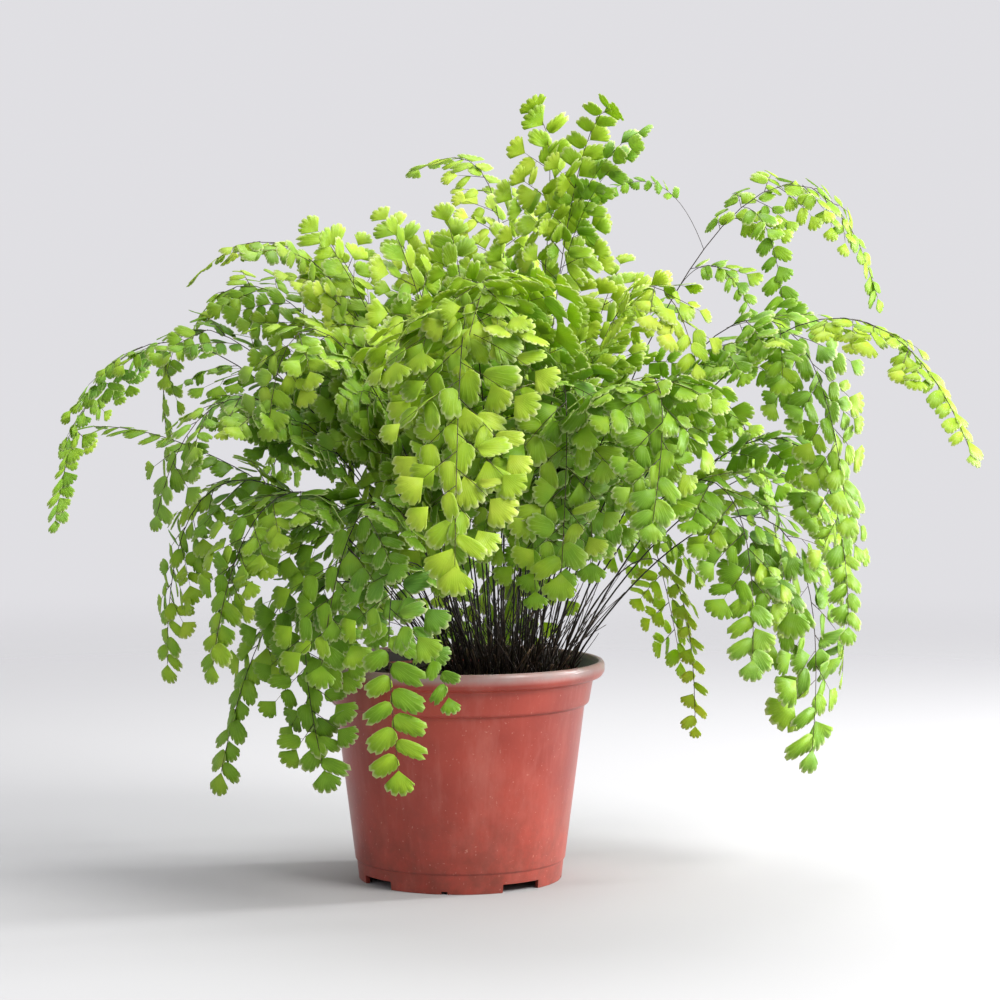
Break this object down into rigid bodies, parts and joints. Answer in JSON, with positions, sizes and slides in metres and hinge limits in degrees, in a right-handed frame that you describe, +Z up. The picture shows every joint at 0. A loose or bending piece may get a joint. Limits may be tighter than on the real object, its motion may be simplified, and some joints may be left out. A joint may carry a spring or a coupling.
{
  "type": "potted maidenhair fern",
  "caption": "Maidenhair fern with arching black stems and fan-shaped leaflets, in a round tapered nursery pot filled with soil.",
  "frame": {"origin": "on the surface the pot stands on, at the pot's axis", "axes": "+Z up; -Y is the side seen in the picture; +X is to the right seen from there"},
  "size_m": [0.4603, 0.3417, 0.3786],
  "materials": {
    "pot": "moulded brick-red polypropylene, satin, lightly scuffed",
    "soil": "damp dark potting mix of peat and bark, matt",
    "foliage": "thin soft green leaflets, satin, on glossy black wiry stems"
  },
  "bodies": {
    "root": {"pot": "pot", "soil": "soil", "frond_01": "foliage", "frond_02": "foliage", "frond_03": "foliage", "frond_04": "foliage", "frond_05": "foliage", "frond_06": "foliage", "frond_07": "foliage", "frond_08": "foliage", "frond_09": "foliage", "frond_10": "foliage", "frond_11": "foliage", "frond_12": "foliage", "frond_13": "foliage", "frond_14": "foliage", "frond_15": "foliage", "frond_16": "foliage", "frond_17": "foliage", "frond_18": "foliage", "frond_19": "foliage", "frond_20": "foliage", "frond_21": "foliage", "frond_22": "foliage", "frond_23": "foliage", "frond_24": "foliage", "frond_25": "foliage", "frond_26": "foliage", "frond_27": "foliage", "frond_28": "foliage", "frond_29": "foliage", "frond_30": "foliage", "frond_31": "foliage", "frond_32": "foliage", "frond_33": "foliage", "frond_34": "foliage", "frond_35": "foliage", "frond_36": "foliage", "frond_37": "foliage", "frond_38": "foliage", "frond_39": "foliage", "frond_40": "foliage", "frond_41": "foliage", "frond_42": "foliage"}
  },
  "joints": []
}
